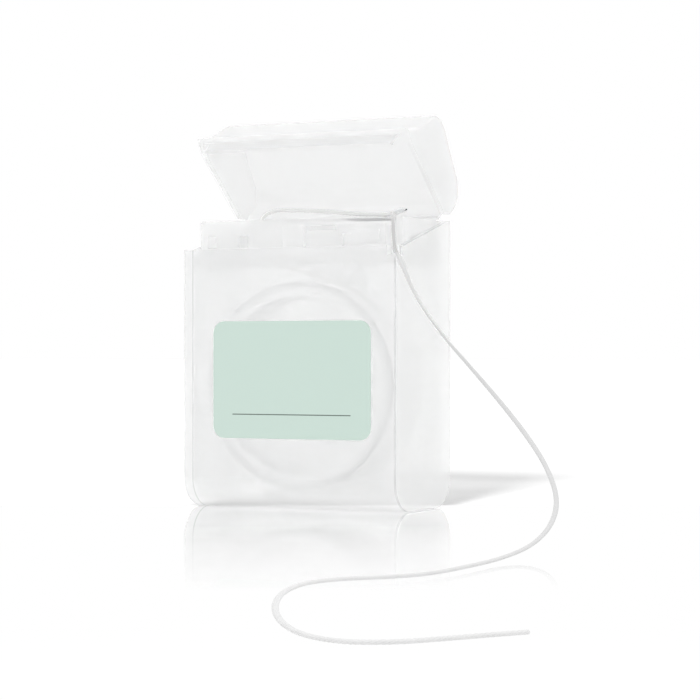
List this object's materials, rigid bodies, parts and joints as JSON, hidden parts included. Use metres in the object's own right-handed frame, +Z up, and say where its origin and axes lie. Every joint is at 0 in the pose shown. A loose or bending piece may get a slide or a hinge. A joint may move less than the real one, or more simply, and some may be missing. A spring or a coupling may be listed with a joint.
{
  "type": "dental floss dispenser",
  "caption": "Frosted flip-top case with a hinged lid, guide insert with a toothed cutter, a spool of wound floss and a loose end of floss.",
  "frame": {"origin": "middle of the flat bottom face of the case", "axes": "+X to the right seen from the label side, +Y to the hinge at the rear, +Z up; the lid is drawn open"},
  "size_m": [0.1419, 0.2085, 0.0771],
  "materials": {
    "frosted_plastic": "frosted translucent polypropylene",
    "insert_plastic": "natural translucent polypropylene",
    "spool_plastic": "satin white plastic",
    "cutter_steel": "thin rolled stainless steel",
    "floss_fibre": "waxed twisted white filament",
    "label_film": "pale green printed film"
  },
  "bodies": {
    "case": {"case_body": "frosted_plastic", "living_hinge": "frosted_plastic", "guide_insert": "insert_plastic", "cutter_blade": "cutter_steel", "front_label": "label_film", "floss_feed": "floss_fibre", "floss_tail": "floss_fibre"},
    "lid": {"lid": "frosted_plastic"},
    "spool": {"spool": "spool_plastic", "floss_pack": "floss_fibre", "floss_winding": "floss_fibre"}
  },
  "joints": [
    {"name": "lid_hinge", "type": "hinge", "parent": "case", "child": "lid", "pos_m": [0, 0.01125, 0.05735], "axis": [-1, 0, 0], "range_deg": [-56, 44]},
    {"name": "spool_spin", "type": "hinge", "parent": "case", "child": "spool", "pos_m": [0, -0.001, 0.0241], "axis": [0, 1, 0], "continuous": true}
  ]
}
